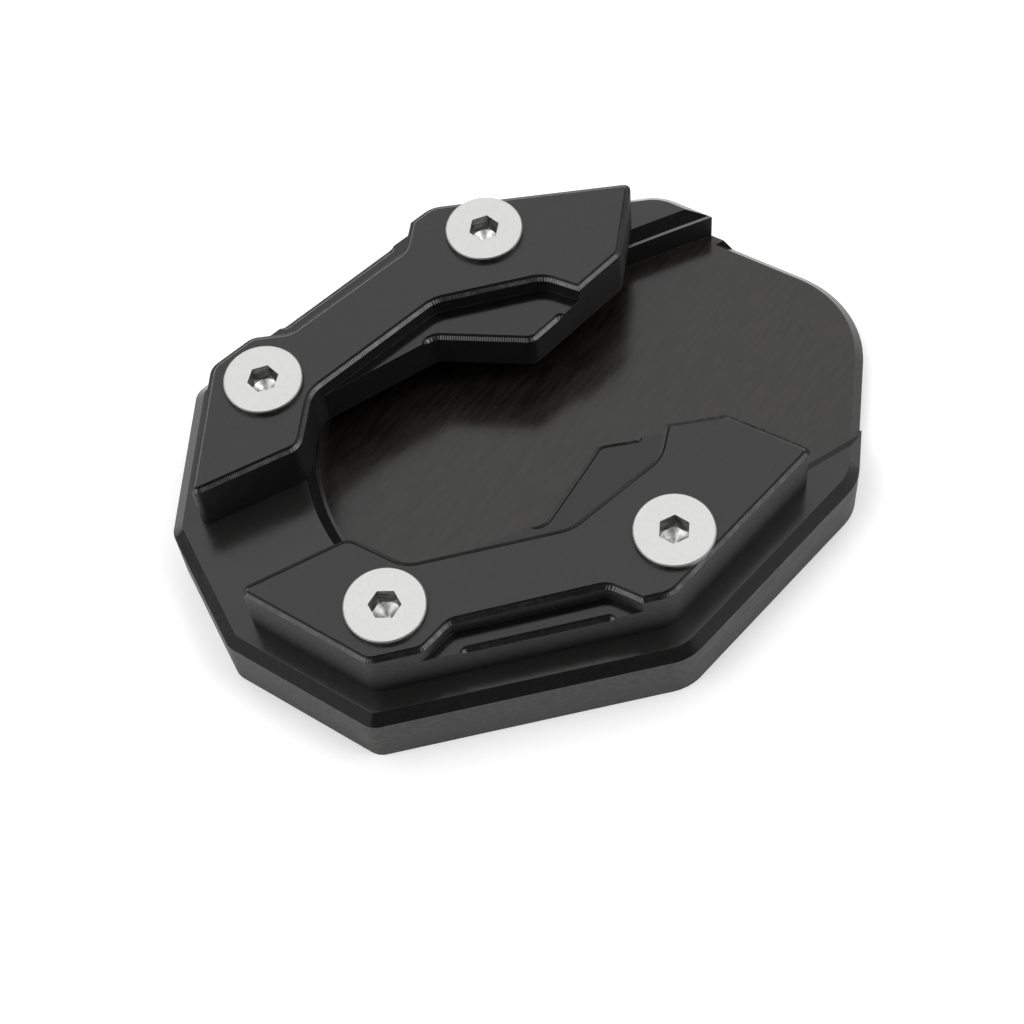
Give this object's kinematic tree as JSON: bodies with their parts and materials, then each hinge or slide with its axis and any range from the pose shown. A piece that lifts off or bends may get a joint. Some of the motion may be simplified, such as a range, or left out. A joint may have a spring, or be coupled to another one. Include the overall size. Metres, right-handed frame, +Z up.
{
  "type": "kickstand foot enlarger",
  "caption": "Black anodised foot plate for a motorcycle side stand, with a milled pocket that takes the foot, stepped clamps and countersunk screws.",
  "frame": {"origin": "middle of the underside's bounding box, on the ground", "axes": "+X along the plate towards the open end of the pocket, +Y across it, +Z up out of the pocket"},
  "size_m": [0.072, 0.057, 0.014],
  "materials": {
    "plate_black": "black anodised, satin, with fine milling marks",
    "clamp_black": "black anodised, satin, with fine milling marks",
    "screw_steel": "stainless, fine matt"
  },
  "bodies": {
    "root": {"base_plate": "plate_black", "front_clamp": "clamp_black", "rear_clamp": "clamp_black", "front_left_screw": "screw_steel", "front_right_screw": "screw_steel", "rear_left_screw": "screw_steel", "rear_right_screw": "screw_steel"}
  },
  "joints": []
}
